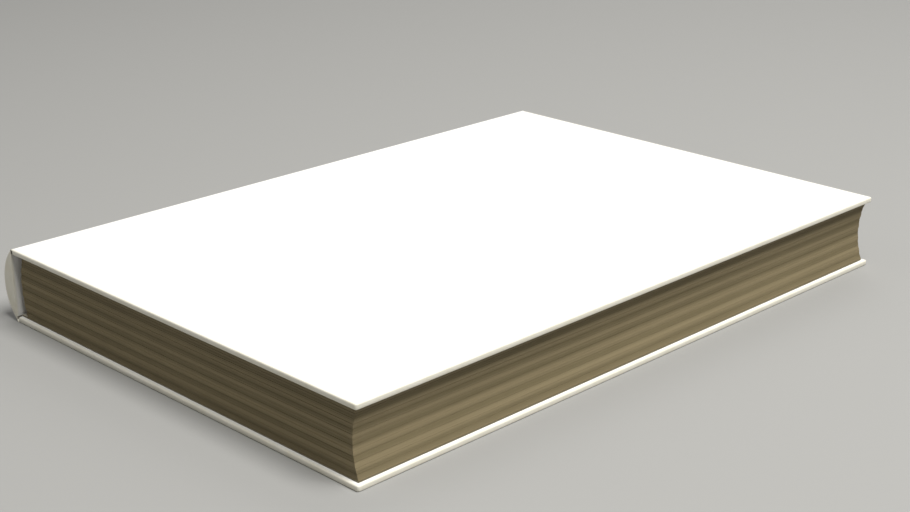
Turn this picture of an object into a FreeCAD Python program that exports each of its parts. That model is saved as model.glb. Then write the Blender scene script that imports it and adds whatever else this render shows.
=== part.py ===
import FreeCAD, Part
import os
import Sketcher

# A case-bound book, closed and lying on its back cover.
#
# The leaves are one block with a rounded back and a hollow fore-edge. The case around it is two boards and a
# D-section spine strip, all wrapped in one white sheet that is turned in over their edges. The covers swing where
# that sheet crosses from the boards to the spine. Gauze on the block's back and the folded endpapers hold the
# block in the case.
#
# +X runs from the spine to the fore-edge, +Y from tail to head and +Z from the back cover to the front cover. The
# origin is on the back cover's outer face, in the middle of the book's height and of its whole width. Millimetres.

doc = FreeCAD.newDocument("hardcover_book")
sheet = doc.addObject("Spreadsheet::Sheet", "sizes")

# Driving dimensions, each with what it measures
DRIVING = [
    ("leaf_width", 165, "one leaf, spine edge to fore-edge"),
    ("leaf_height", 242, "one leaf, tail to head"),
    ("pages_thick", 21, "all the leaves pressed together"),
    ("section_count", 13, "sewn sections in the block"),
    ("line_width", 0.25, "the fine line where two sections meet"),
    ("line_depth", 0.2, "how deep that line goes into the edges"),
    ("rounding", 2, "how far the middle leaves stand back from the outer ones"),
    ("gauze_thick", 0.15, "the open cloth glued on the block's back"),
    ("gauze_short", 18, "how far the gauze stops short of head and tail"),
    ("wing_reach", 25, "how far the gauze reaches onto each board"),
    ("lining_thick", 0.15, "the paper glued over the gauze"),
    ("lining_short", 4, "how far the lining stops short of head and tail"),
    ("glue_film", 0.05, "the glue under a layer that follows a curve"),
    ("hollow_gap", 1.8, "the air between lining and case at mid-thickness"),
    ("spine_swell", 6.2, "how far the spine stands out past the flat covers"),
    ("strip_inset", 0.6, "the strip's flat face, outside the covers' spine edge"),
    ("joint_flat", 0.7, "flat sheet between a board and the spine's curve"),
    ("square_width", 1.5, "how far the boards stand out past the leaves"),
    ("board_thick", 1.5, "the grey board"),
    ("board_round", 0.3, "the crushed edge of a board"),
    ("corner_round", 0.35, "the blunting of a board's corner beyond that"),
    ("cover_paper", 0.15, "the white covering sheet"),
    ("turn_in", 15, "how far the sheet is turned in over the boards"),
    ("field_margin", 0.5, "the endpaper's dip, clear of turn-ins and gauze"),
    ("end_paper", 0.12, "the endpapers"),
    ("air_gap", 0.25, "the air between the endpaper's two halves when shut"),
    ("fold_room", 0.3, "the endpaper's fold, short of the hinge line"),
    ("hinge_room", 0.1, "the board's spine edge, short of the hinge line"),
]
for row, (alias, number, meaning) in enumerate(DRIVING, start=1):
    sheet.set(f"A{row}", meaning)
    sheet.set(f"B{row}", str(number))
    sheet.setAlias(f"B{row}", alias)
doc.recompute()

# Sizes and places that follow from the driving dimensions, as expressions
FLAP = "max(sizes.cover_paper; sizes.gauze_thick)"
BOARD_TOP = "(sizes.cover_paper + sizes.board_thick)"
COVER = f"({BOARD_TOP} + {FLAP})"
STACK = f"({COVER} + 2 * sizes.end_paper + sizes.air_gap)"
TOTAL = f"(sizes.pages_thick + 2 * {STACK})"
HEIGHT = "(sizes.leaf_height + 2 * sizes.square_width)"
BACKING = "(sizes.gauze_thick + sizes.lining_thick + 2 * sizes.glue_film)"
BEHIND = f"(sizes.spine_swell - sizes.strip_inset + sizes.cover_paper + sizes.hollow_gap + {BACKING})"
WIDTH = f"({BEHIND} + sizes.rounding + sizes.leaf_width + sizes.square_width)"
LEFT = f"(-{WIDTH} / 2)"
RIGHT = f"({WIDTH} / 2)"
FLAT_EDGE = f"({LEFT} + sizes.spine_swell)"
STRIP_FACE = f"({FLAT_EDGE} - sizes.strip_inset)"
HINGE = f"({FLAT_EDGE} + sizes.joint_flat)"
FOLD = f"({HINGE} + sizes.fold_room)"
BOARD_EDGE = f"({HINGE} + sizes.hinge_room)"
BACK_APEX = f"({LEFT} + {BEHIND})"
LEAF_EDGE = f"({BACK_APEX} + sizes.rounding)"
FORE_EDGE = f"({LEAF_EDGE} + sizes.leaf_width)"
SPINE_RADIUS = f"((({TOTAL} / 2) ^ 2 + sizes.spine_swell ^ 2) / (2 * sizes.spine_swell))"
BACK_RADIUS = "(((sizes.pages_thick / 2) ^ 2 + sizes.rounding ^ 2) / (2 * sizes.rounding))"
RIM = "min(sizes.board_round; 0.4 * sizes.board_thick)"


def bind(thing, **expressions):
    """Ties properties to expressions. Two underscores in a name stand for a dot."""
    for name, expression in expressions.items():
        thing.setExpression(name.replace("__", "."), expression)
    return thing


def place(thing, x, y, z):
    """Ties where a thing stands to expressions."""
    return bind(thing, Placement__Base__x=x, Placement__Base__y=y, Placement__Base__z=z)


def level(side, bottom, height):
    """The lowest height of a layer that starts at bottom above the back cover, or as far below the front cover."""
    return f"({bottom})" if side == "back" else f"({TOTAL} - ({bottom}) - ({height}))"


def box(label, start, bottom, end, length, height):
    """A block from X start to X end, even about the middle of the book's height."""
    block = doc.addObject("Part::Box", label)
    bind(block, Length=f"({end}) - ({start})", Width=length, Height=height)
    return place(block, start, f"-({length}) / 2", bottom)


def round_bar(label, radius, left, length):
    """A cylinder along Y at half the book's thickness, given the X of its left side."""
    bar = doc.addObject("Part::Cylinder", label)
    bar.Placement.Rotation = FreeCAD.Rotation(FreeCAD.Vector(1, 0, 0), -90)
    bind(bar, Radius=radius, Height=length)
    return place(bar, f"{left} + {radius}", f"-({length}) / 2", f"{TOTAL} / 2")


def combine(kind, label, base, tool):
    """A Part::Cut or Part::Common of two objects."""
    made = doc.addObject(kind, label)
    made.Base = base
    made.Tool = tool
    return made


def fuse(label, pieces):
    """One Part::MultiFuse of several objects."""
    made = doc.addObject("Part::MultiFuse", label)
    made.Shapes = pieces
    return made


def new_sketch(body, name, role):
    """A sketch on one of the body's own origin planes."""
    sketch = body.newObject("Sketcher::SketchObject", name)
    plane = next(f for f in body.Origin.OriginFeatures if f.Role == role)
    sketch.AttachmentSupport = [(plane, "")]
    sketch.MapMode = "FlatFace"
    return sketch


def dimension(sketch, name, expression, *what):
    """Adds one dimension to a sketch and ties it to an expression."""
    index = sketch.addConstraint(Sketcher.Constraint(*what))
    sketch.renameConstraint(index, name)
    sketch.setExpression(f"Constraints.{name}", expression)


def pad(body, sketch, length, even):
    """A pad of a sketch, on both sides of it if even."""
    feature = body.newObject("PartDesign::Pad", f"{sketch.Name}_pad")
    feature.Profile = sketch
    feature.Midplane = even
    return bind(feature, Length=length)


def leaf_outline(sketch, width, thickness):
    """The section of the leaves: two like arcs a leaf's width apart, joined at top and bottom.

    The first arc's apex is the sketch's origin. The rounding slides each leaf, so both arcs have one radius.
    """
    radius, half, shift = 28.0, 10.0, 160.0
    turn = FreeCAD.Vector(0, 0, 1)
    for centre in (radius, radius + shift):
        circle = Part.Circle(FreeCAD.Vector(centre, 0, 0), turn, radius)
        sketch.addGeometry(Part.ArcOfCircle(circle, 2.77, 3.51))
    for side in (half, -half):
        ends = [FreeCAD.Vector(x, side, 0) for x in (2.0, 2.0 + shift)]
        sketch.addGeometry(Part.LineSegment(*ends))
    back, fore, top, bottom = 0, 1, 2, 3
    for line, arc_end in ((top, 1), (bottom, 2)):
        sketch.addConstraint(Sketcher.Constraint("Coincident", line, 1, back, arc_end))
        sketch.addConstraint(Sketcher.Constraint("Coincident", line, 2, fore, arc_end))
        sketch.addConstraint(Sketcher.Constraint("Horizontal", line))
    for arc in (back, fore):
        sketch.addConstraint(Sketcher.Constraint("PointOnObject", arc, 3, -1))
    sketch.addConstraint(Sketcher.Constraint("Equal", back, fore))
    dimension(sketch, "radius", BACK_RADIUS, "Radius", back, radius)
    dimension(sketch, "apex", BACK_RADIUS, "DistanceX", -1, 1, back, 3, radius)
    dimension(sketch, "width", width, "DistanceX", back, 3, fore, 3, shift)
    dimension(sketch, "upper", f"{thickness} / 2", "DistanceY", -1, 1, back, 1, half)
    dimension(sketch, "lower", f"{thickness} / 2", "DistanceY", back, 2, -1, 1, half)


def leaves(label, inset):
    """The pressed leaves, drawn in by inset on their four cut and folded sides."""
    body = doc.addObject("PartDesign::Body", label)
    sketch = new_sketch(body, f"{label}_outline", "XZ_Plane")
    leaf_outline(sketch, f"(sizes.leaf_width - 2 * {inset})", "sizes.pages_thick")
    pad(body, sketch, f"sizes.leaf_height - 2 * {inset}", even=True)
    return place(body, f"{BACK_APEX} + {inset}", "0", f"{TOTAL} / 2")


def page_block():
    """All the leaves in one piece, with a fine line all round wherever two sections meet."""
    lines = []
    for number in range(1, round(sheet.section_count)):
        middle = f"({STACK} + sizes.pages_thick * {number} / sizes.section_count)"
        bottom = f"({middle} - sizes.line_width / 2)"
        lines.append(box(f"section_line_{number}", LEFT, bottom, RIGHT, HEIGHT, "sizes.line_width"))
    core = leaves("core", "sizes.line_depth")
    grooves = combine("Part::Cut", "section_grooves", fuse("section_lines", lines), core)
    combine("Part::Cut", "page_block", leaves("whole_leaves", "0"), grooves)


def back_shell(label, inner, thickness, length, low, high):
    """A layer glued round the block's back, inner away from it, between two heights."""
    bore = round_bar(f"{label}_bore", f"({BACK_RADIUS} + {inner})", f"({BACK_APEX} - {inner})", length)
    outer = f"({inner} + {thickness})"
    bar = round_bar(f"{label}_bar", f"({BACK_RADIUS} + {outer})", f"({BACK_APEX} - {outer})", length)
    ring = combine("Part::Cut", f"{label}_ring", bar, bore)
    window = box(f"{label}_window", f"({BACK_APEX} - {outer})", low, LEAF_EDGE, length, f"({high}) - ({low})")
    return combine("Part::Common", f"{label}_shell", ring, window)


def spine_gauze():
    """The open cloth on the block's back. At each side it goes round the endpaper's fold and lies on the board."""
    length = "(sizes.leaf_height - 2 * sizes.gauze_short)"
    outside = f"({FOLD} - sizes.gauze_thick)"
    top = f"({TOTAL} - {STACK})"
    pieces = [back_shell("gauze", "sizes.glue_film", "sizes.gauze_thick", length, STACK, top)]
    drop = f"({STACK} + sizes.gauze_thick - {BOARD_TOP})"
    reach = f"({HINGE} + sizes.wing_reach)"
    shoulder = f"({LEAF_EDGE} - sizes.glue_film - sizes.gauze_thick)"
    for side in ("front", "back"):
        shelf = level(side, STACK, "sizes.gauze_thick")
        foot = level(side, BOARD_TOP, drop)
        wing = level(side, BOARD_TOP, "sizes.gauze_thick")
        pieces += [
            box(f"{side}_gauze_shelf", outside, shelf, shoulder, length, "sizes.gauze_thick"),
            box(f"{side}_gauze_drop", outside, foot, FOLD, length, drop),
            box(f"{side}_gauze_wing", outside, wing, reach, length, "sizes.gauze_thick"),
        ]
    fuse("spine_gauze", pieces)


def spine_lining():
    """The paper glued over the gauze, between its two shelves."""
    length = "(sizes.leaf_height - 2 * sizes.lining_short)"
    low = f"({STACK} + sizes.gauze_thick)"
    under = "(sizes.gauze_thick + 2 * sizes.glue_film)"
    shell = back_shell("lining", under, "sizes.lining_thick", length, low, f"({TOTAL} - {low})")
    shell.Label = "spine_lining"


def spine_strip():
    """The D-section strip that stiffens the spine: round outside, flat towards the block."""
    length = f"({HEIGHT} - 2 * sizes.cover_paper)"
    skin = "(sizes.cover_paper + sizes.glue_film)"
    left = f"({LEFT} + {skin})"
    bar = round_bar("strip_bar", f"({SPINE_RADIUS} - {skin})", left, length)
    window = box("strip_window", left, "0", STRIP_FACE, length, TOTAL)
    combine("Part::Common", "spine_strip", bar, window)


def spine_covering():
    """The covering sheet over the spine, from hinge line to hinge line, turned in over the strip's two ends."""
    bar = round_bar("spine_bar", SPINE_RADIUS, LEFT, HEIGHT)
    left_half = box("spine_window", LEFT, "0", FLAT_EDGE, HEIGHT, TOTAL)
    swell = combine("Part::Common", "spine_swell_solid", bar, left_half)
    inner_radius = f"({SPINE_RADIUS} - sizes.cover_paper)"
    bore = round_bar("spine_bore", inner_radius, f"({LEFT} + sizes.cover_paper)", HEIGHT)
    pieces = [combine("Part::Cut", "spine_shell", swell, bore)]
    for side in ("front", "back"):
        bottom = level(side, "0", "sizes.cover_paper")
        pieces.append(box(f"{side}_joint", FLAT_EDGE, bottom, HINGE, HEIGHT, "sizes.cover_paper"))
    flap_top = f"({STRIP_FACE} + sizes.cover_paper)"
    flap_height = f"({TOTAL} - 2 * {COVER})"
    strip_length = f"({HEIGHT} - 2 * sizes.cover_paper)"
    open_length = f"({HEIGHT} - 2 * sizes.turn_in)"
    end_bar = round_bar("end_bar", SPINE_RADIUS, LEFT, HEIGHT)
    end_window = box("end_window", LEFT, "0", STRIP_FACE, HEIGHT, TOTAL)
    end_solid = combine("Part::Common", "end_solid", end_bar, end_window)
    middle = box("end_middle", LEFT, "0", STRIP_FACE, strip_length, TOTAL)
    pieces.append(combine("Part::Cut", "end_caps", end_solid, middle))
    flaps = box("flap_whole", STRIP_FACE, COVER, flap_top, HEIGHT, flap_height)
    between = box("flap_middle", STRIP_FACE, COVER, flap_top, open_length, flap_height)
    pieces.append(combine("Part::Cut", "end_flaps", flaps, between))
    fuse("spine_covering", pieces)


def board_solid(label, side, grow):
    """A board with blunted fore-edge corners and crushed edges, or the same grown by the covering sheet."""
    body = doc.addObject("PartDesign::Body", label)
    sketch = new_sketch(body, f"{label}_outline", "XY_Plane")
    corners = [FreeCAD.Vector(x, y, 0) for x, y in ((0, -1), (3, -1), (3, 1), (0, 1))]
    for start, end in zip(corners, corners[1:] + corners[:1]):
        sketch.addGeometry(Part.LineSegment(start, end))
    for number, way in enumerate(("Horizontal", "Vertical", "Horizontal", "Vertical")):
        sketch.addConstraint(Sketcher.Constraint("Coincident", number, 2, (number + 1) % 4, 1))
        sketch.addConstraint(Sketcher.Constraint(way, number))
    sketch.addConstraint(Sketcher.Constraint("Symmetric", 3, 1, 3, 2, -1, 1))
    length = f"({RIGHT} - sizes.cover_paper + {grow} - {BOARD_EDGE})"
    height = f"({HEIGHT} - 2 * sizes.cover_paper + 2 * {grow})"
    thickness = f"(sizes.board_thick + 2 * {grow})"
    dimension(sketch, "length", length, "DistanceX", 0, 1, 0, 2, 3)
    dimension(sketch, "height", height, "DistanceY", 1, 1, 1, 2, 2)
    pad(body, sketch, thickness, even=False)
    doc.recompute()
    far = body.Shape.BoundBox.XMax
    tiny = 1e-4
    round_edges(
        body,
        f"{label}_corners",
        f"{RIM} + sizes.corner_round + {grow}",
        lambda edge: edge.XMin > far - tiny and edge.YLength < tiny,
    )
    round_edges(
        body,
        f"{label}_rim",
        f"{RIM} + {grow}",
        lambda edge: edge.ZLength < tiny and edge.XMax > tiny,
    )
    bottom = level(side, f"sizes.cover_paper - {grow}", thickness)
    return place(body, BOARD_EDGE, "0", bottom)


def round_edges(body, name, radius, test):
    """Fillets the edges of a body's tip whose own bounding box passes the test."""
    base = body.Tip
    edges = [f"Edge{n}" for n, edge in enumerate(base.Shape.Edges, start=1) if test(edge.BoundBox)]
    feature = body.newObject("PartDesign::Fillet", name)
    feature.Base = (base, edges)
    bind(feature, Radius=radius)
    doc.recompute()


def board_covering(side, board):
    """The covering sheet over one board, turned in at head, tail and fore-edge."""
    outer = board_solid(f"{side}_wrap", side, "sizes.cover_paper")
    sheet_only = combine("Part::Cut", f"{side}_wrap_hollow", outer, board)
    inner_edge = f"({RIGHT} - sizes.turn_in)"
    open_height = f"({HEIGHT} - 2 * sizes.turn_in)"
    bottom = level(side, BOARD_TOP, "sizes.cover_paper")
    window = box(f"{side}_wrap_window", BOARD_EDGE, bottom, inner_edge, open_height, "sizes.cover_paper")
    combine("Part::Cut", f"{side}_covering", sheet_only, window)


def pastedown(side):
    """The pasted half of the endpaper, which sinks onto the board between the turn-ins and the gauze."""
    near = f"({HINGE} + sizes.wing_reach + sizes.field_margin)"
    far = f"({RIGHT} - sizes.turn_in - sizes.field_margin)"
    tall = f"({HEIGHT} - 2 * sizes.turn_in - 2 * sizes.field_margin)"
    rim = level(side, COVER, "sizes.end_paper")
    deep = f"({FLAP} + sizes.end_paper)"
    flat = box(f"{side}_paste_rim", FOLD, rim, FORE_EDGE, "sizes.leaf_height", "sizes.end_paper")
    sunk = box(f"{side}_paste_field", near, level(side, BOARD_TOP, deep), far, tall, deep)
    wall = "sizes.end_paper"
    dip = box(
        f"{side}_paste_dip",
        f"({near} + {wall})",
        level(side, f"{BOARD_TOP} + sizes.end_paper", FLAP),
        f"({far} - {wall})",
        f"({tall} - 2 * {wall})",
        FLAP,
    )
    combine("Part::Cut", f"{side}_pastedown", fuse(f"{side}_paste", [flat, sunk]), dip)


def flyleaf(side):
    """The free half of the endpaper, tipped onto the leaves. It reaches past them to the fold."""
    bottom = level(side, f"{STACK} - sizes.end_paper", "sizes.end_paper")
    box(f"{side}_flyleaf", FOLD, bottom, FORE_EDGE, "sizes.leaf_height", "sizes.end_paper")


def save(names):
    """Checks every object, then writes each named piece to its own file."""
    doc.recompute()
    for thing in doc.Objects:
        failed = {"Invalid", "Error"} & set(thing.State)
        if failed:
            raise RuntimeError(f"{thing.Name} is {failed}")
    os.makedirs("parts", exist_ok=True)
    for name in names:
        shape = doc.getObjectsByLabel(name)[0].Shape
        if shape.isNull() or not shape.isValid() or len(shape.Solids) != 1:
            raise RuntimeError(f"{name} isn't one sound solid")
        shape.exportStep(f"parts/{name}.step")
        size = shape.BoundBox
        print(f"{name}: {size.XLength:.2f} x {size.YLength:.2f} x {size.ZLength:.2f} mm, {shape.Volume:.0f} mm3")


page_block()
spine_gauze()
spine_lining()
spine_strip()
spine_covering()
pieces = ["page_block", "spine_gauze", "spine_lining", "spine_strip", "spine_covering"]
for which in ("front", "back"):
    board_covering(which, board_solid(f"{which}_board", which, "0"))
    pastedown(which)
    flyleaf(which)
    pieces += [f"{which}_{piece}" for piece in ("board", "covering", "pastedown", "flyleaf")]
save(pieces)
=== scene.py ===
# %% [markdown]
# # A blank white hardcover book
#
# The book lies closed on its back cover. What shows is three things: the white sheet that wraps the boards
# and the spine, the tan edges of some two hundred leaves, and a dark slit where the spine stands clear of
# them. The covers open, so the endpapers and the folds of the sheet are made too. The first cell loads the
# finished construction, which gives every size.

# %% Load the construction
import math
import random

import bmesh
import bpy
from mathutils import Matrix, Vector


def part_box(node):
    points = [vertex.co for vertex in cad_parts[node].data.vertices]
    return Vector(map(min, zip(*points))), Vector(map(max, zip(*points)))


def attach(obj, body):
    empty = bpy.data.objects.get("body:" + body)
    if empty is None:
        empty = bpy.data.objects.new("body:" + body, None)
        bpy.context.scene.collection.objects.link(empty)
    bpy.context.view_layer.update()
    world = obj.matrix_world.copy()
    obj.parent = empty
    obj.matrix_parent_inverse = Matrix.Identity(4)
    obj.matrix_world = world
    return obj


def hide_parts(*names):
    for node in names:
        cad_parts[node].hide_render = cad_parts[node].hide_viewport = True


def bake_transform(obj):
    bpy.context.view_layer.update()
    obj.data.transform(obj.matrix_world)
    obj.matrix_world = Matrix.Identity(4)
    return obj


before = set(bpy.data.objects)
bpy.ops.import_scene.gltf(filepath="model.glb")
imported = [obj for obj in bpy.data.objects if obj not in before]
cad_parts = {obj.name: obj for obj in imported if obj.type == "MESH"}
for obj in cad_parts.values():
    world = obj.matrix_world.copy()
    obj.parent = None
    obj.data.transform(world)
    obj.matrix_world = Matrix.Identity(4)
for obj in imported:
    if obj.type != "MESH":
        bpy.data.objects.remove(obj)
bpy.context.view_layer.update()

MM = 0.001
print("nodes:", sorted(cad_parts))

# %% [markdown]
# ## The book's own measures
#
# Everything is placed from the boxes of the construction's pieces, so a change of size there moves the
# looks as well. Only what a box can't give, such as the roundness of an edge, is a number of its own.

# %% Measures from the construction
block_low, block_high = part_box("page_block")
spine_low, spine_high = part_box("spine_covering")
strip_low, strip_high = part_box("spine_strip")
wrap_low, wrap_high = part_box("front_covering")
board_low, board_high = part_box("front_board")
fly_low, fly_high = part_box("front_flyleaf")
paste_low, paste_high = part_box("front_pastedown")

TOP = spine_high.z
HALF_HEIGHT = wrap_high.y
RIGHT = wrap_high.x
LEFT = spine_low.x
HINGE = spine_high.x
BOARD_EDGE = board_low.x
SHEET = TOP - board_high.z
COVER = TOP - wrap_low.z
LEAF_COUNT = 208
SECTIONS = 13
ROUNDING = 2 * MM
STRIP_INSET = 0.6 * MM
FLAT_EDGE = strip_high.x + STRIP_INSET
SWELL = FLAT_EDGE - LEFT
SPINE_RADIUS = ((TOP / 2) ** 2 + SWELL**2) / (2 * SWELL)
print(f"closed book: {RIGHT - LEFT:.4f} x {2 * HALF_HEIGHT:.4f} x {TOP:.4f} m")

# %% [markdown]
# ## The camera
#
# The photograph was taken from above the tail corner of the fore-edge. A camera was fitted to the four
# corners of the front cover and three of the back cover. What it gave is written here as a designer would
# say it: how far round, how high, how far away in book heights, and the small shift of the book from the
# middle of the picture.

# %% Camera from the photograph's angle
PHOTO_WIDTH = 910
FOCAL_PIXELS = 1669.1
SENSOR = 36
BOOK = 2 * HALF_HEIGHT
AROUND, ABOVE, ROLL = math.radians(45.43), math.radians(19.94), math.radians(-0.30)
AWAY, SIDEWAYS, UPWARDS = 2.345 * BOOK, 0.0066 * BOOK, -0.0019 * BOOK


def photo_camera():
    """A camera that sees the book as the photograph does."""
    level_part = math.cos(ABOVE)
    back = Vector((math.sin(AROUND) * level_part, -math.cos(AROUND) * level_part, math.sin(ABOVE)))
    level = Vector((math.cos(AROUND), math.sin(AROUND), 0))
    upright = back.cross(level)
    right = math.cos(ROLL) * level + math.sin(ROLL) * upright
    up = math.cos(ROLL) * upright - math.sin(ROLL) * level
    middle = Vector(((FLAT_EDGE + RIGHT) / 2, 0, TOP / 2))
    place = middle - SIDEWAYS * right - UPWARDS * up + AWAY * back
    bpy.ops.object.camera_add(location=place)
    camera = bpy.context.object
    camera.name = "photo_camera"
    turn = Matrix((right, up, back)).transposed().to_4x4()
    camera.matrix_world = Matrix.Translation(place) @ turn
    camera.data.sensor_width = SENSOR
    camera.data.lens = FOCAL_PIXELS * SENSOR / PHOTO_WIDTH
    camera.data.clip_start = 0.01
    return camera


bpy.context.scene.camera = photo_camera()
print("camera lens:", round(bpy.context.scene.camera.data.lens, 2), "mm")

# %% [markdown]
# ## Floor and light
#
# A pale floor and three soft lamps. The key hangs to the right, on the fore-edge's side, so that the top is
# brightest, the fore-edge is next and the tail edge is darkest, as in the photograph. The book's own
# overhanging board throws the shadow on the upper leaves, so the key hangs high. The plain view transform
# lets white paper come out white.

# %% Floor and lamps
FLOOR_TONE = (0.31, 0.31, 0.305, 1)
WORLD_TONE = (1.0, 0.99, 0.95, 1)
WORLD_STRENGTH = 0.16
LAMPS = {
    "key": ((0.66, 0.02, 1.42), 0.9, 37.0, (1.0, 0.985, 0.95)),
    "fill": ((-0.6, -1.0, 0.8), 0.9, 1.5, (1.0, 0.985, 0.93)),
    "back": ((-0.5, 0.9, 0.9), 0.8, 4.0, (1.0, 0.985, 0.96)),
}


def studio():
    """The floor, the lamps and the sky's even light."""
    bpy.ops.mesh.primitive_plane_add(size=6, location=(0, 0, 0))
    floor = bpy.context.object
    floor.name = "studio_floor"
    paint = bpy.data.materials.new("studio_floor")
    paint.use_nodes = True
    shader = paint.node_tree.nodes["Principled BSDF"]
    shader.inputs["Base Color"].default_value = FLOOR_TONE
    shader.inputs["Roughness"].default_value = 0.85
    floor.data.materials.append(paint)
    target = Vector((0, 0, TOP / 2))
    for name, (place, size, power, tone) in LAMPS.items():
        bpy.ops.object.light_add(type="AREA", location=place)
        lamp = bpy.context.object
        lamp.name = f"{name}_lamp"
        lamp.data.size = size
        lamp.data.energy = power
        lamp.data.color = tone
        lamp.rotation_euler = (target - Vector(place)).to_track_quat("-Z", "Y").to_euler()
    world = bpy.data.worlds.new("studio_sky")
    world.use_nodes = True
    sky = world.node_tree.nodes["Background"]
    sky.inputs["Color"].default_value = WORLD_TONE
    sky.inputs["Strength"].default_value = WORLD_STRENGTH
    bpy.context.scene.world = world
    bpy.context.scene.view_settings.view_transform = "Standard"


studio()
print("lamps:", ", ".join(LAMPS))

# %% [markdown]
# ## Small helpers for building materials
#
# Each finish is a handful of nodes around one Principled shader. These helpers keep the recipes short: one
# adds a node and links what it is given, one makes a noise that can be stretched, and one turns a noise
# into a narrow range.


# %% Helpers for materials
class Finish:
    """A new material with its nodes, its links and the object's own coordinates at hand."""

    def __init__(self, name, roughness):
        self.material = bpy.data.materials.new(name)
        self.material.use_nodes = True
        self.tree = self.material.node_tree
        self.shader = self.tree.nodes["Principled BSDF"]
        self.shader.inputs["Roughness"].default_value = roughness
        self.place = self.tree.nodes.new("ShaderNodeTexCoord").outputs["Object"]

    def node(self, kind, inputs=None, **settings):
        """Adds a node; an input is linked if it is a socket and set if it is a value."""
        made = self.tree.nodes.new(kind)
        for name, value in settings.items():
            setattr(made, name, value)
        for name, value in (inputs or {}).items():
            if isinstance(value, bpy.types.NodeSocket):
                self.tree.links.new(value, made.inputs[name])
            else:
                made.inputs[name].default_value = value
        return made

    def noise(self, size, stretch=(1, 1, 1), detail=3.0, seed=0.0):
        """Noise with grains of a size in metres, longer along an axis where stretch is more than one."""
        scale = [1 / (size * s) for s in stretch]
        placed = self.node(
            "ShaderNodeMapping",
            {"Vector": self.place, "Scale": scale, "Location": (seed, seed, seed)},
        )
        made = self.node(
            "ShaderNodeTexNoise",
            {"Vector": placed.outputs[0], "Scale": 1.0, "Detail": detail, "Roughness": 0.55},
        )
        return made.outputs["Fac"]

    def spread(self, value, low, high, to_low=0.0, to_high=1.0, clamp=True):
        """The value's stretch from low to high, laid out from to_low to to_high."""
        made = self.node(
            "ShaderNodeMapRange",
            {"Value": value, "From Min": low, "From Max": high, "To Min": to_low, "To Max": to_high},
            clamp=clamp,
        )
        return made.outputs["Result"]

    def math(self, how, first, second):
        made = self.node("ShaderNodeMath", operation=how)
        for socket, value in zip(made.inputs, (first, second)):
            if isinstance(value, bpy.types.NodeSocket):
                self.tree.links.new(value, socket)
            else:
                socket.default_value = value
        return made.outputs[0]

    def mix(self, share, first, second):
        """A colour between two others."""
        made = self.node("ShaderNodeMix", data_type="RGBA")
        for socket, value in zip((made.inputs[0], made.inputs[6], made.inputs[7]), (share, first, second)):
            if isinstance(value, bpy.types.NodeSocket):
                self.tree.links.new(value, socket)
            else:
                socket.default_value = value
        return made.outputs[2]

    def colour(self, value):
        self.tree.links.new(value, self.shader.inputs["Base Color"])

    def bumps(self, *layers):
        """Stacks bumps, each a height from 0 to 1 and its depth in metres."""
        normal = None
        for height, depth in layers:
            inputs = {"Height": height, "Distance": depth, "Strength": 1.0}
            if normal:
                inputs["Normal"] = normal
            normal = self.node("ShaderNodeBump", inputs).outputs["Normal"]
        self.tree.links.new(normal, self.shader.inputs["Normal"])


print("material helpers ready")

# %% [markdown]
# ## The white covering sheet
#
# The covers are wrapped in a smooth white sheet. Up close it has the faint tooth of paper and a slow
# unevenness where the glue took. Where it turns over the boards' edges it is painted a darker cream, as
# painted shade along the rims, broken up by noise.


# %% White sheet
def white_sheet():
    finish = Finish("white_sheet", 0.5)
    mottle = finish.spread(finish.noise(22 * MM, detail=2), 0.35, 0.65)
    clean = finish.mix(mottle, (0.86, 0.858, 0.845, 1), (0.845, 0.842, 0.825, 1))
    parts = finish.node("ShaderNodeSeparateXYZ", {"Vector": finish.place})
    # Painted shade: near the ends and the fore-edge the sheet is mixed towards a darker cream, broken up by
    # noise.
    ends = finish.math("ABSOLUTE", parts.outputs["Y"], 0.0)
    near_end = finish.spread(ends, HALF_HEIGHT - 1.1 * MM, HALF_HEIGHT - 0.1 * MM)
    near_fore = finish.spread(parts.outputs["X"], RIGHT - 1.1 * MM, RIGHT - 0.1 * MM)
    rim = finish.math("MAXIMUM", near_end, near_fore)
    rim_shade_breakup = finish.spread(finish.noise(5 * MM, seed=3.0), 0.3, 0.7, 0.7, 1.0)
    painted_rim_shade = finish.math("MULTIPLY", rim, rim_shade_breakup)
    finish.colour(finish.mix(painted_rim_shade, clean, (0.72, 0.69, 0.58, 1)))
    tooth = finish.noise(0.35 * MM, detail=4, seed=1.0)
    ripple = finish.noise(9 * MM, detail=1, seed=2.0)
    finish.bumps((ripple, 0.05 * MM), (tooth, 0.012 * MM))
    return finish.material


WHITE = white_sheet()
print("finish:", WHITE.name)

# %% [markdown]
# ## The leaves' edges
#
# Cut book paper browns at its edges, and not evenly: the block shows five broad streaks, a few millimetres
# high, which run along the whole edge and round the corners, and thin dusty lines between them. A cosine of
# the height gives the broad streaks, with a slow drift so that they aren't ruled, and noise that is very
# long sideways gives the lines. The outermost leaves, next to the covers, are painted darker: partly
# browning, partly painted shade for the shade under the boards' overhang.


# %% Paper edges
STREAKS = 5
STREAK_DROP = 0.6 * MM
DRIFT = 0.4 * MM
BROWN_AND_SHADE_FROM, BROWN_AND_SHADE_TO = 6 * MM, 10.5 * MM
AGED = (0.165, 0.132, 0.067, 1)
CLEANER = (0.255, 0.206, 0.116, 1)
DUST_AND_SHADE_TONE = (0.11, 0.087, 0.044, 1)


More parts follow.
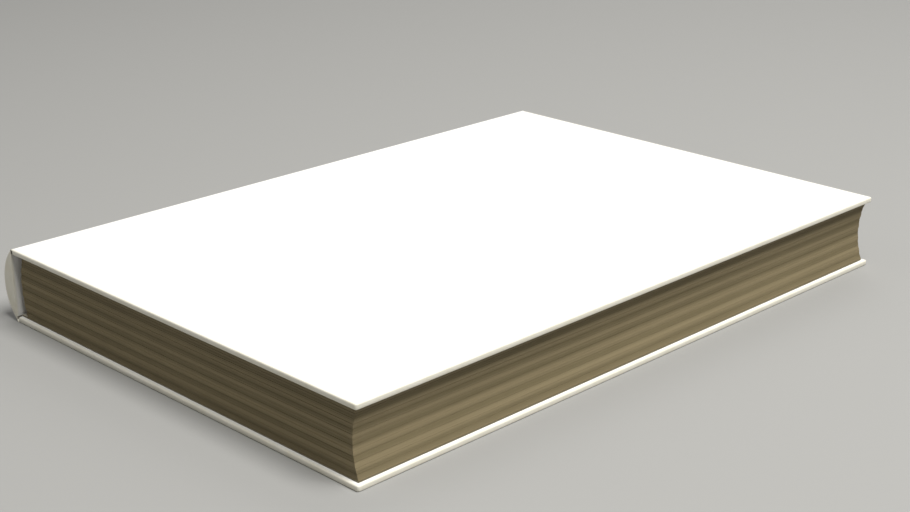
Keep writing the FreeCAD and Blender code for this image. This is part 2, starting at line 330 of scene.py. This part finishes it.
def leaf_edges():
    finish = Finish("leaf_edges", 0.85)
    parts = finish.node("ShaderNodeSeparateXYZ", {"Vector": finish.place})
    wander = finish.noise(6 * MM, stretch=(25, 25, 1), detail=1, seed=11.0)
    drift = finish.spread(wander, 0, 1, -DRIFT, DRIFT)
    height = finish.math("ADD", parts.outputs["Z"], drift)
    pitch = (block_high.z - block_low.z) / STREAKS
    start = block_low.z - STREAK_DROP
    turns = finish.spread(height, start, start + pitch, 0.0, 2 * math.pi, clamp=False)
    broad = finish.spread(finish.math("COSINE", turns, 0.0), -1, 0.6)
    base = finish.mix(broad, AGED, CLEANER)
    band_noise = finish.noise(1.5 * MM, stretch=(150, 150, 1), detail=2, seed=6.0)
    uneven = finish.spread(band_noise, 0.3, 0.7, 0.0, 0.25)
    varied = finish.mix(uneven, base, AGED)
    line_noise = finish.noise(0.42 * MM, stretch=(420, 420, 1), detail=2, seed=4.0)
    thin = finish.spread(line_noise, 0.52, 0.74, 0.0, 0.35)
    lined = finish.mix(thin, varied, DUST_AND_SHADE_TONE)
    # Painted shade and browning: the leaves nearest both covers are mixed towards the dark tone, where the
    # overhanging boards shade them.
    off_middle = finish.math("ABSOLUTE", finish.math("SUBTRACT", height, TOP / 2), 0.0)
    outer = finish.spread(off_middle, BROWN_AND_SHADE_FROM, BROWN_AND_SHADE_TO, 0.0, 0.5)
    browned_and_shaded = finish.mix(outer, lined, DUST_AND_SHADE_TONE)
    patch = finish.spread(finish.noise(34 * MM, detail=2, seed=7.0), 0.4, 0.65, 0.0, 0.12)
    finish.colour(finish.mix(patch, browned_and_shaded, CLEANER))
    leaves = finish.noise(0.12 * MM, stretch=(300, 300, 1), detail=1, seed=5.0)
    finish.bumps((leaves, 0.03 * MM))
    return finish.material


EDGES = leaf_edges()
print("finish:", EDGES.name)

# %% [markdown]
# ## Endpaper, board, gauze and lining
#
# These show only when a cover is opened or at the spine's open ends, but they are there to be found: cream
# uncoated paper, grey board with flecks of other pulp, an open weave stiff with glue, and brown wrapping
# paper.


# %% Papers and board
def flecked(name, roughness, tones, grain, fleck_tone, fleck_share, depth, trimmed=False):
    """Paper or board: a soft mottle, flecks and a fine tooth, and browned edges where it was trimmed."""
    finish = Finish(name, roughness)
    mottle = finish.spread(finish.noise(grain * 12, detail=3), 0.35, 0.65)
    base = finish.mix(mottle, tones[0], tones[1])
    specks = finish.noise(grain * 2, stretch=(2.5, 1, 1), detail=2, seed=9.0)
    flecks = finish.spread(specks, 0.66, 0.72, 0.0, fleck_share)
    paper = finish.mix(flecks, base, fleck_tone)
    if trimmed:
        parts = finish.node("ShaderNodeSeparateXYZ", {"Vector": finish.place})
        ends = finish.math("ABSOLUTE", parts.outputs["Y"], 0.0)
        near_end = finish.spread(ends, fly_high.y - 0.3 * MM, fly_high.y - 0.05 * MM)
        near_fore = finish.spread(parts.outputs["X"], fly_high.x - 0.3 * MM, fly_high.x - 0.05 * MM)
        paper = finish.mix(finish.math("MAXIMUM", near_end, near_fore), paper, AGED)
    finish.colour(paper)
    finish.bumps((finish.noise(grain, detail=3, seed=2.0), depth))
    return finish.material


def woven(name, tone, gap_tone, pitch):
    """An open plain weave: two crossed waves of thread over darker gaps."""
    finish = Finish(name, 0.8)
    waves = []
    for axis in ("X", "Y"):
        wave = finish.node(
            "ShaderNodeTexWave", {"Vector": finish.place, "Scale": math.pi / (10 * pitch), "Distortion": 0.4},
            bands_direction=axis,
        )
        waves.append(wave.outputs["Fac"])
    thread = finish.math("MAXIMUM", *waves)
    finish.colour(finish.mix(finish.spread(thread, 0.3, 0.8), gap_tone, tone))
    finish.bumps((thread, 0.1 * MM))
    return finish.material


ENDPAPER = flecked(
    "endpaper", 0.8, ((0.61, 0.58, 0.505, 1), (0.585, 0.55, 0.47, 1)), 0.3 * MM,
    (0.47, 0.42, 0.33, 1), 0.25, 0.015 * MM, trimmed=True,
)
GREY_BOARD = flecked(
    "grey_board", 0.9, ((0.30, 0.28, 0.245, 1), (0.25, 0.23, 0.20, 1)), 0.25 * MM,
    (0.12, 0.10, 0.08, 1), 0.7, 0.04 * MM,
)
LINING = flecked(
    "lining_paper", 0.85, ((0.33, 0.22, 0.12, 1), (0.28, 0.18, 0.095, 1)), 0.3 * MM,
    (0.17, 0.11, 0.06, 1), 0.4, 0.02 * MM,
)
GAUZE = woven("gauze", (0.72, 0.68, 0.57, 1), (0.30, 0.25, 0.18, 1), 0.9 * MM)
print("finishes:", ENDPAPER.name, GREY_BOARD.name, LINING.name, GAUZE.name)

# %% [markdown]
# ## Small helpers for modelling
#
# The pieces are modelled as by hand: add a primitive, go into edit mode, pick what lies where, and work on
# it. A new primitive joins whatever was selected before, so each helper first lets go of everything.


# %% Helpers for modelling
def add_box(name, low, high):
    """A box primitive between two corners, with its place in its mesh."""
    bpy.ops.object.select_all(action="DESELECT")
    low, high = Vector(low), Vector(high)
    bpy.ops.mesh.primitive_cube_add(size=1, location=(low + high) / 2, scale=high - low)
    bpy.context.object.name = name
    bpy.ops.object.transform_apply(location=True, rotation=True, scale=True)
    return bpy.context.object


def add_sheet(name, low, high):
    """A flat primitive between two corners at one height, with its place in its mesh."""
    bpy.ops.object.select_all(action="DESELECT")
    low, high = Vector(low), Vector(high)
    bpy.ops.mesh.primitive_plane_add(size=1, location=(low + high) / 2)
    bpy.context.object.name = name
    bpy.context.object.scale = (high.x - low.x, high.y - low.y, 1)
    bpy.ops.object.transform_apply(location=True, rotation=True, scale=True)
    return bpy.context.object


def pick(kind, test):
    """In edit mode, selects the verts, edges or faces that pass a test, and says how many."""
    tools = bpy.context.tool_settings
    tools.mesh_select_mode = (kind == "verts", kind == "edges", kind == "faces")
    bpy.ops.mesh.select_all(action="DESELECT")
    data = bpy.context.object.data
    mesh = bmesh.from_edit_mesh(data)
    chosen = [part for part in getattr(mesh, kind) if test(part)]
    for part in chosen:
        part.select_set(True)
    mesh.select_flush_mode()
    bmesh.update_edit_mesh(data)
    return len(chosen)


def middle(part):
    """The middle of an edge or a face."""
    corners = [v.co for v in part.verts]
    return sum(corners, Vector()) / len(corners)


def cut(place, normal):
    """Bisects the whole mesh by a plane."""
    bpy.ops.mesh.select_all(action="SELECT")
    bpy.ops.mesh.bisect(plane_co=place, plane_no=normal, threshold=MERGE)


def apply_modifier(piece, kind, **settings):
    """Adds a modifier, sets it and applies it."""
    bpy.ops.object.select_all(action="DESELECT")
    bpy.context.view_layer.objects.active = piece
    piece.select_set(True)
    bpy.ops.object.modifier_add(type=kind)
    modifier = piece.modifiers[-1]
    for name, value in settings.items():
        setattr(modifier, name, value)
    bpy.ops.object.modifier_apply(modifier=modifier.name)


def dress(piece, material, smooth=35):
    """One material on the whole piece and soft shading below an angle."""
    piece.data.materials.clear()
    piece.data.materials.append(material)
    bpy.ops.object.select_all(action="DESELECT")
    bpy.context.view_layer.objects.active = piece
    piece.select_set(True)
    bpy.ops.object.shade_smooth_by_angle(angle=math.radians(smooth))
    print(f"{piece.name}: {sum(len(p.vertices) - 2 for p in piece.data.polygons)} triangles")


CLOSE = 1e-6
MERGE = 1e-7
print("modelling helpers ready")

# %% [markdown]
# ## The leaves
#
# A box of leaves is cut into its thirteen sections, each section into sixteen leaves, and each leaf once
# more along its middle. Every level is then slid and drawn in by itself: the rounding of the back slides
# it, which makes the hollow fore-edge of itself, and no two leaves are quite as wide. The lines between
# leaves lie a hair deeper, and those between sections deeper still. Last, a long soft wave runs along the
# edges.

# %% Cut the block into leaves
block = add_box("leaves", block_low, (block_high.x - ROUNDING, block_high.y, block_high.z))
bpy.ops.object.mode_set(mode="EDIT")


def upright(edge):
    a, b = (v.co for v in edge.verts)
    return abs(a.z - b.z) > CLOSE


for cuts in (SECTIONS - 1, LEAF_COUNT // SECTIONS - 1, 1):
    pick("edges", upright)
    bpy.ops.mesh.subdivide(number_cuts=cuts)
print("levels:", len(bmesh.from_edit_mesh(block.data).verts) // 4)

# %% [markdown]
# Each level is one selection of four corners, moved with the move and scale tools. The random draws are
# seeded, so the same leaves stand proud each time.

# %% Slide and draw in each leaf
THICK = block_high.z - block_low.z
BACK_RADIUS = ((THICK / 2) ** 2 + ROUNDING**2) / (2 * ROUNDING)
LEAF_LINE = 0.02 * MM
SECTION_LINE = 0.12 * MM
STREAK_DIP = 0.09 * MM
draws = random.Random(7)
stands_back = [draws.uniform(0.0, 0.05) * MM for _ in range(LEAF_COUNT + 1)]


def streak(share):
    """How far the trimmed edges stand back at a share of the thickness: most in the middle of each streak."""
    wave = 1 - math.cos(2 * math.pi * STREAKS * (share + STREAK_DROP / THICK))
    ripple = 1 + math.sin(61 * share + 2.0)
    return STREAK_DIP * (wave / 2 + ripple / 4)


def slide(height):
    """How far the rounding slides a leaf at a height."""
    off = height - (block_low.z + block_high.z) / 2
    return BACK_RADIUS - math.sqrt(BACK_RADIUS**2 - off**2)


half_x = (block_high.x - block_low.x - ROUNDING) / 2
half_y = block_high.y
for level in range(2 * LEAF_COUNT + 1):
    height = block_low.z + THICK * level / (2 * LEAF_COUNT)
    pick("verts", lambda v: abs(v.co.z - height) < 0.01 * MM)
    back = stands_back[level // 2] + streak(level / (2 * LEAF_COUNT))
    if level % 2 == 0:
        on_section = level % (2 * LEAF_COUNT // SECTIONS) == 0
        back += SECTION_LINE if on_section and 0 < level < 2 * LEAF_COUNT else LEAF_LINE
    centre = (block_low.x + half_x, 0, height)
    bpy.ops.transform.resize(value=(1 - back / half_x, 1 - back / half_y, 1), center_override=centre)
    bpy.ops.transform.translate(value=(slide(height), 0, 0))
print("leaves slid by up to", round(slide(block_low.z) / MM, 2), "mm")

# %% [markdown]
# The long edges are then divided along their length and gently displaced by a cloud texture that is
# stretched along the leaves, so the streaks swell and fade as they run.


# %% Divide along the length and wave the edges
def runs_along(axis):
    """A test for edges along an axis."""
    def test(edge):
        a, b = (v.co for v in edge.verts)
        return abs(a[axis] - b[axis]) > 20 * MM
    return test


for axis, cuts in ((0, 13), (1, 19)):
    pick("edges", runs_along(axis))
    bpy.ops.mesh.subdivide(number_cuts=cuts)
bpy.ops.object.mode_set(mode="OBJECT")
walls = block.vertex_groups.new(name="walls")
inside = [v.index for v in block.data.vertices if block_low.z + CLOSE < v.co.z < block_high.z - CLOSE]
walls.add(inside, 1.0, "REPLACE")
bpy.ops.object.empty_add(location=(0.013, 0.02, 0.0))
stretcher = bpy.context.object
stretcher.scale = (60 * MM, 60 * MM, 2.2 * MM)
cloud = bpy.data.textures.new("edge_wave", type="CLOUDS")
cloud.noise_scale = 1.0
apply_modifier(
    block, "DISPLACE", texture=cloud, texture_coords="OBJECT", texture_coords_object=stretcher,
    vertex_group="walls", strength=0.16 * MM, mid_level=0.8,
)
bpy.data.objects.remove(stretcher)
dress(block, EDGES, smooth=50)
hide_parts("page_block")
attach(block, "text_block")

# %% [markdown]
# ## The sheet over a board
#
# The covering is one sheet folded round the board. A box of the cover's size is given blunt corners and
# soft rims, loses its spine end, and is opened inside the turn-ins; what is left is thickened inwards.
# Towards the spine the outer face and its soft rims run on across the joint in many narrow columns, where
# the real sheet folds when the cover opens.

# %% Sheet over a board
TURN_IN = 15 * MM
CORNER = 0.8 * MM
RIM = 0.45 * MM
SEAM = HINGE - 0.38 * MM
FOLD_COLUMNS = 10


def board_sheet(side):
    """The white sheet over one board, from the seam beside the spine to the turn-ins."""
    front = side == "front"
    low = TOP - COVER if front else 0
    outer = TOP if front else 0
    inner = TOP - COVER if front else COVER
    piece = add_box(f"{side}_cover_sheet", (BOARD_EDGE, -HALF_HEIGHT, low), (RIGHT, HALF_HEIGHT, low + COVER))
    bpy.ops.object.mode_set(mode="EDIT")
    pick("edges", lambda e: upright(e) and middle(e).x > RIGHT - CLOSE)
    bpy.ops.mesh.bevel(offset=CORNER, segments=5, affect="EDGES")
    pick("edges", lambda e: not upright(e) and not on_spine_side(e) and is_rim(e) and e.calc_length() > CLOSE)
    bpy.ops.mesh.bevel(offset=RIM, segments=4, affect="EDGES")
    pick("faces", lambda f: f.normal.x < -0.9)
    bpy.ops.mesh.delete(type="ONLY_FACE")
    open_turn_ins(inner)
    pick("edges", lambda e: on_spine_side(e) and abs(middle(e).z - outer) < RIM)
    step = (SEAM - BOARD_EDGE) / FOLD_COLUMNS
    for _ in range(FOLD_COLUMNS):
        bpy.ops.mesh.extrude_region_move(TRANSFORM_OT_translate={"value": (step, 0, 0)})
    bpy.ops.mesh.select_all(action="SELECT")
    bpy.ops.mesh.remove_doubles(threshold=MERGE)
    bpy.ops.mesh.normals_make_consistent(inside=False)
    bpy.ops.object.mode_set(mode="OBJECT")
    face_outwards(piece, outer, front)
    apply_modifier(piece, "SOLIDIFY", thickness=SHEET, offset=-1, use_even_offset=True)
    dress(piece, WHITE)
    return piece


def on_spine_side(edge):
    return all(v.co.x < BOARD_EDGE + CLOSE for v in edge.verts)


def is_rim(edge):
    """An edge where a flat face meets an upright one."""
    ups = [abs(f.normal.z) for f in edge.link_faces]
    return len(ups) == 2 and max(ups) > 0.9 and min(ups) < 0.1


def open_turn_ins(inner):
    """Cuts the inner face at the turn-ins and along their mitres, and takes out what lies between them."""
    for place, normal in (
        ((RIGHT - TURN_IN, 0, 0), (1, 0, 0)),
        ((0, HALF_HEIGHT - TURN_IN, 0), (0, 1, 0)),
        ((0, TURN_IN - HALF_HEIGHT, 0), (0, 1, 0)),
    ):
        pick("faces", lambda f: abs(f.normal.z) > 0.99 and abs(middle(f).z - inner) < CLOSE)
        bpy.ops.mesh.bisect(plane_co=place, plane_no=normal, threshold=MERGE)
    pick(
        "faces",
        lambda f: abs(f.normal.z) > 0.99
        and abs(middle(f).z - inner) < CLOSE
        and middle(f).x < RIGHT - TURN_IN
        and abs(middle(f).y) < HALF_HEIGHT - TURN_IN,
    )
    bpy.ops.mesh.delete(type="FACE")


def face_outwards(piece, outer, front):
    """Turns the sheet right side out if its big outer face looks inwards."""
    big = max(piece.data.polygons, key=lambda p: p.area if abs(p.center.z - outer) < CLOSE else 0)
    if (big.normal.z > 0) != front:
        piece.data.flip_normals()


cover_sheets = {side: board_sheet(side) for side in ("front", "back")}
for side, sheet in cover_sheets.items():
    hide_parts(f"{side}_covering")
    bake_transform(sheet)

# %% [markdown]
# ## The sheet over the spine
#
# The spine is part of a cylinder. One long edge, placed where the round begins, is spun about the
# cylinder's middle to where it ends, and both long edges then run on flat to the seams. The ends are closed
# by drawing the round's end edges flat onto the strip's inner face, and from there the sheet runs back into
# the hollow as a turn-in. The kink between the round and the flat, and the rim of the closed ends, are
# softened with bevels.

# %% Sheet over the spine
SPINE_TURN_IN = 15 * MM
KINK = 0.3 * MM
SPINE_RIM = 0.3 * MM
ROUND_STEPS = 56
FLAP_FACE = strip_high.x + SHEET


def spine_sheet():
    """The white sheet over the spine, with its two ends turned in over the strip."""
    piece = add_sheet("spine_cover_sheet", (FLAT_EDGE, -HALF_HEIGHT, TOP), (SEAM, HALF_HEIGHT, TOP))
    bpy.ops.object.mode_set(mode="EDIT")
    pick("edges", lambda e: all(v.co.x < FLAT_EDGE + CLOSE for v in e.verts))
    arc = 2 * math.asin(TOP / 2 / SPINE_RADIUS)
    bpy.ops.mesh.spin(
        steps=ROUND_STEPS, angle=arc, center=(LEFT + SPINE_RADIUS, 0, TOP / 2), axis=(0, 1, 0)
    )
    pick("edges", lambda e: e.is_boundary and all(v.co.z < 0.1 * MM for v in e.verts) and runs_long(e))
    bpy.ops.mesh.extrude_region_move(TRANSFORM_OT_translate={"value": (SEAM - FLAT_EDGE, 0, 0)})
    cut((FLAP_FACE, 0, 0), (1, 0, 0))
    for level in (COVER, TOP - COVER):
        cut((0, 0, level), (0, 0, 1))
    for end in (-1, 1):
        pick("edges", lambda e: at_end(e, end) and middle(e).x < FLAP_FACE)
        bpy.ops.mesh.extrude_region()
        bpy.ops.transform.resize(value=(0, 1, 1), center_override=(FLAP_FACE, 0, 0))
        pick(
            "edges",
            lambda e: at_end(e, end)
            and all(abs(v.co.x - FLAP_FACE) < CLOSE for v in e.verts)
            and COVER < middle(e).z < TOP - COVER,
        )
        bpy.ops.mesh.extrude_region_move(TRANSFORM_OT_translate={"value": (0, -end * SPINE_TURN_IN, 0)})
    bpy.ops.mesh.select_all(action="SELECT")
    bpy.ops.mesh.remove_doubles(threshold=MERGE)
    bpy.ops.mesh.normals_make_consistent(inside=False)
    pick("edges", lambda e: runs_long(e) and at_kink(e) and not e.is_boundary)
    bpy.ops.mesh.bevel(offset=KINK, segments=4, affect="EDGES")
    pick("edges", is_spine_rim)
    bpy.ops.mesh.bevel(offset=SPINE_RIM, segments=3, affect="EDGES")
    bpy.ops.object.mode_set(mode="OBJECT")
    outermost = min(piece.data.polygons, key=lambda p: p.center.x)
    if outermost.normal.x > 0:
        piece.data.flip_normals()
    apply_modifier(piece, "SOLIDIFY", thickness=SHEET, offset=-1, use_even_offset=True)
    dress(piece, WHITE)
    return piece


def at_end(edge, end):
    return all(abs(v.co.y - end * HALF_HEIGHT) < CLOSE for v in edge.verts)


def runs_long(edge):
    return abs(edge.verts[0].co.y - edge.verts[1].co.y) > HALF_HEIGHT


def at_kink(edge):
    """Whether a long edge lies where the round meets the flat."""
    place = middle(edge)
    return abs(place.x - FLAT_EDGE) < 0.01 * MM and abs(place.z - TOP / 2) > TOP / 2 - 0.01 * MM


def is_spine_rim(edge):
    """An edge where the round face meets one of the closed ends."""
    across = [abs(f.normal.y) for f in edge.link_faces]
    on_round = middle(edge).x < FLAP_FACE - SPINE_RIM
    return len(across) == 2 and max(across) > 0.9 and min(across) < 0.1 and on_round


spine = spine_sheet()
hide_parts("spine_covering")
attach(spine, "text_block")

# %% [markdown]
# ## The endpapers
#
# An endpaper is one sheet folded in two: half is pasted to the board and half lies free on the leaves. A
# flat sheet is spun round the fold and run on over the board. Where it sinks between the turn-ins and the
# gauze, a field is inset and pressed down.

# %% Endpapers
FIELD_MARGIN = 0.5 * MM
WING_REACH = 25 * MM
FOLD_STEPS = 12
PAPER = fly_high.z - fly_low.z


def endpaper(side):
    """A folded endpaper, for the front as modelled or turned over for the back."""
    free = (fly_low.z + fly_high.z) / 2
    pasted = paste_low.z + PAPER / 2
    turn = (pasted - free) / 2
    piece = add_sheet(
        f"{side}_endpaper", (fly_low.x + turn, fly_low.y, free), (fly_high.x, fly_high.y, free)
    )
    bpy.ops.object.mode_set(mode="EDIT")
    pick("edges", lambda e: all(v.co.x < fly_low.x + turn + CLOSE for v in e.verts))
    bpy.ops.mesh.spin(
        steps=FOLD_STEPS, angle=math.pi, center=(fly_low.x + turn, 0, free + turn), axis=(0, 1, 0)
    )
    pick(
        "edges",
        lambda e: e.is_boundary and e.calc_length() > HALF_HEIGHT and abs(middle(e).z - pasted) < 0.01 * MM,
    )
    near = HINGE + WING_REACH + FIELD_MARGIN
    far = RIGHT - TURN_IN - FIELD_MARGIN
    bpy.ops.mesh.extrude_region_move(TRANSFORM_OT_translate={"value": (fly_high.x - fly_low.x - turn, 0, 0)})
    for place, normal in (
        ((near, 0, 0), (1, 0, 0)),
        ((far, 0, 0), (1, 0, 0)),
        ((0, HALF_HEIGHT - TURN_IN - FIELD_MARGIN, 0), (0, 1, 0)),
        ((0, TURN_IN + FIELD_MARGIN - HALF_HEIGHT, 0), (0, 1, 0)),
    ):
        pick("faces", lambda f: middle(f).z > pasted - CLOSE)
        bpy.ops.mesh.bisect(plane_co=place, plane_no=normal, threshold=MERGE)
    pick(
        "faces",
        lambda f: middle(f).z > pasted - CLOSE
        and near < middle(f).x < far
        and abs(middle(f).y) < HALF_HEIGHT - TURN_IN - FIELD_MARGIN,
    )
    bpy.ops.mesh.inset(thickness=0.35 * MM, use_even_offset=True)
    bpy.ops.transform.translate(value=(0, 0, SHEET))
    bpy.ops.mesh.select_all(action="SELECT")
    bpy.ops.mesh.normals_make_consistent(inside=False)
    bpy.ops.object.mode_set(mode="OBJECT")
    apply_modifier(piece, "SOLIDIFY", thickness=PAPER, offset=0, use_even_offset=True)
    if side == "back":
        turn_over(piece)
    dress(piece, ENDPAPER, smooth=60)
    return piece


def turn_over(piece):
    """Mirrors a piece from the front cover's side of the book to the back cover's."""
    bpy.ops.object.select_all(action="DESELECT")
    piece.select_set(True)
    bpy.context.view_layer.objects.active = piece
    bpy.ops.object.mode_set(mode="EDIT")
    bpy.ops.mesh.select_all(action="SELECT")
    bpy.ops.transform.resize(value=(1, 1, -1), center_override=(0, 0, TOP / 2))
    bpy.ops.mesh.flip_normals()
    bpy.ops.object.mode_set(mode="OBJECT")


for side in ("front", "back"):
    paper = endpaper(side)
    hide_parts(f"{side}_flyleaf", f"{side}_pastedown")
    start, end = fly_high.z, paste_low.z
    if side == "back":
        start, end = TOP - start, TOP - end
    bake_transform(paper)

# %% [markdown]
# ## The gauze
#
# The gauze on the leaves' back is glued down in the middle and runs out onto both boards. It is made as two
# like halves that meet at the back's apex. An edge at the apex is spun round the back, then run along the
# shoulder, down past the fold and out over the board.

# %% Gauze
GAUZE_THICK = 0.15 * MM
GLUE = 0.05 * MM
GAUZE_SHORT = 18 * MM
SHOULDER_STEPS = 16


def gauze_half(side):
    """Half of the gauze, from the middle of the back to its wing on the board."""
    long = block_high.y - GAUZE_SHORT
    apex = block_low.x - GLUE - GAUZE_THICK / 2
    radius = BACK_RADIUS + GLUE + GAUZE_THICK / 2
    turn = math.asin((THICK / 2 + GAUZE_THICK / 2) / radius)
    middle_height = TOP / 2
    piece = add_sheet(f"{side}_gauze", (apex - 1 * MM, -long, middle_height), (apex, long, middle_height))
    bpy.ops.object.mode_set(mode="EDIT")
    pick("verts", lambda v: v.co.x < apex - CLOSE)
    bpy.ops.mesh.delete(type="VERT")
    pick("verts", lambda v: True)
    bpy.ops.mesh.spin(
        steps=SHOULDER_STEPS, angle=turn, center=(apex + radius, 0, middle_height), axis=(0, 1, 0)
    )
    shoulder_height = block_high.z + GAUZE_THICK / 2
    pick("verts", lambda v: abs(v.co.z - shoulder_height) < 0.02 * MM)
    drop_at = fly_low.x - GAUZE_THICK / 2
    wing_height = board_low.z - GAUZE_THICK / 2
    corner = apex + radius - math.sqrt(radius**2 - (THICK / 2 + GAUZE_THICK / 2) ** 2)
    bpy.ops.mesh.extrude_region_move(TRANSFORM_OT_translate={"value": (drop_at - corner, 0, 0)})
    rise = (wing_height - shoulder_height) / 6
    for _ in range(6):
        bpy.ops.mesh.extrude_region_move(TRANSFORM_OT_translate={"value": (0, 0, rise)})
    bpy.ops.mesh.extrude_region_move(TRANSFORM_OT_translate={"value": (HINGE + WING_REACH - drop_at, 0, 0)})
    bpy.ops.mesh.select_all(action="SELECT")
    bpy.ops.mesh.normals_make_consistent(inside=False)
    bpy.ops.object.mode_set(mode="OBJECT")
    apply_modifier(piece, "SOLIDIFY", thickness=GAUZE_THICK, offset=0, use_even_offset=True)
    if side == "back":
        turn_over(piece)
    dress(piece, GAUZE, smooth=60)
    return piece


for side in ("front", "back"):
    gauze = gauze_half(side)
    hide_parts("spine_gauze")
    start, end = paste_low.z - PAPER, paste_low.z + PAPER
    if side == "back":
        start, end = TOP - start, TOP - end
    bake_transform(gauze)

# %% [markdown]
# ## Boards, strip and lining
#
# These come straight from the construction and only need their finish. The boards' spine edges show when a
# cover is open, and the strip and the lining can be seen down the hollow of the spine.

# %% Dress the construction's own pieces
for node, material, slot_name in (
    ("front_board", GREY_BOARD, "grey_board"),
    ("back_board", GREY_BOARD, "grey_board"),
    ("spine_strip", GREY_BOARD, "grey_board"),
    ("spine_lining", LINING, "lining_paper"),
):
    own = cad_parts[node]
    own.data.materials.clear()
    own.data.materials.append(material)
    print(node, "wears", material.name)
